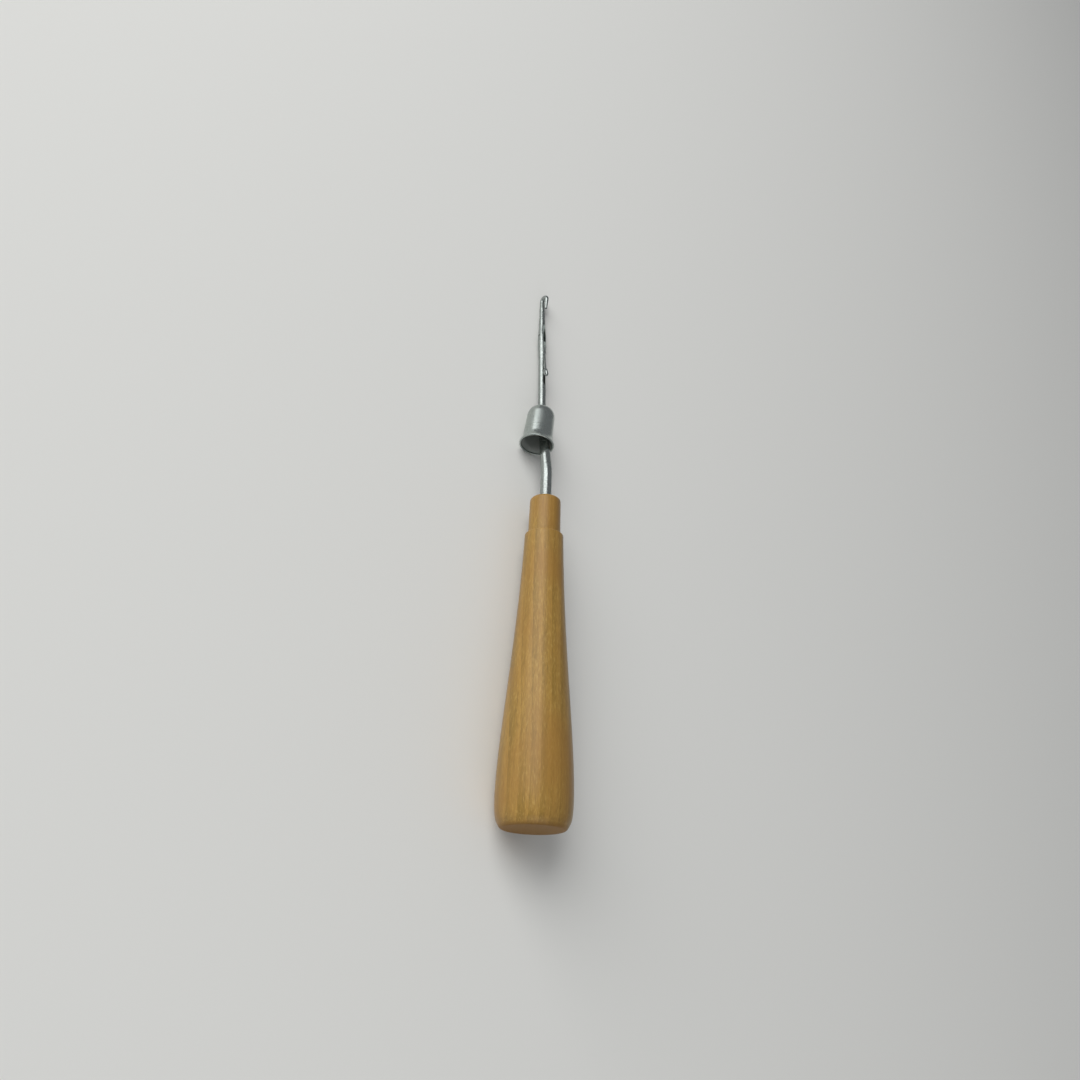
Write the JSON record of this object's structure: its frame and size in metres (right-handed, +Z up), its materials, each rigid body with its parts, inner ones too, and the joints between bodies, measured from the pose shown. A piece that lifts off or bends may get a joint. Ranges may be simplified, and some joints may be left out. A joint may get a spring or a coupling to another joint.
{
  "type": "latch hook",
  "caption": "Hand tool for knotting yarn through rug canvas: a tapered wooden handle, a loose bell ferrule and a cranked needle whose hinged latch closes over an open hook.",
  "frame": {"origin": "middle of the tool's footprint on the surface that it lies on", "axes": "+Y from the butt to the hook, +Z up, with the hook and its latch opening upwards, leaning 3.4 degrees to -X, where the bell's rim rests on the same surface"},
  "size_m": [0.0202, 0.1678, 0.0202],
  "materials": {
    "wood": "clear satin varnish over pale golden hardwood",
    "needle_steel": "polished nickel plate",
    "latch_steel": "stamped, tumbled and plated",
    "bell_nickel": "satin nickel plate on drawn sheet"
  },
  "bodies": {
    "tool": {"handle": "wood", "hook_shank": "needle_steel", "latch_rivet": "latch_steel"},
    "latch": {"latch": "latch_steel"},
    "bell": {"ferrule": "bell_nickel"}
  },
  "joints": [
    {"name": "latch_swing", "type": "hinge", "parent": "tool", "child": "latch", "pos_m": [0.00028, 0.06589, 0.00213], "axis": [-0.9982, -0.0014, -0.0593], "range_deg": [0, 161]},
    {"name": "bell_slide", "type": "slide", "parent": "tool", "child": "bell", "axis": [0.0093, -0.9879, 0.1549], "range_m": [0, 0.017]}
  ]
}
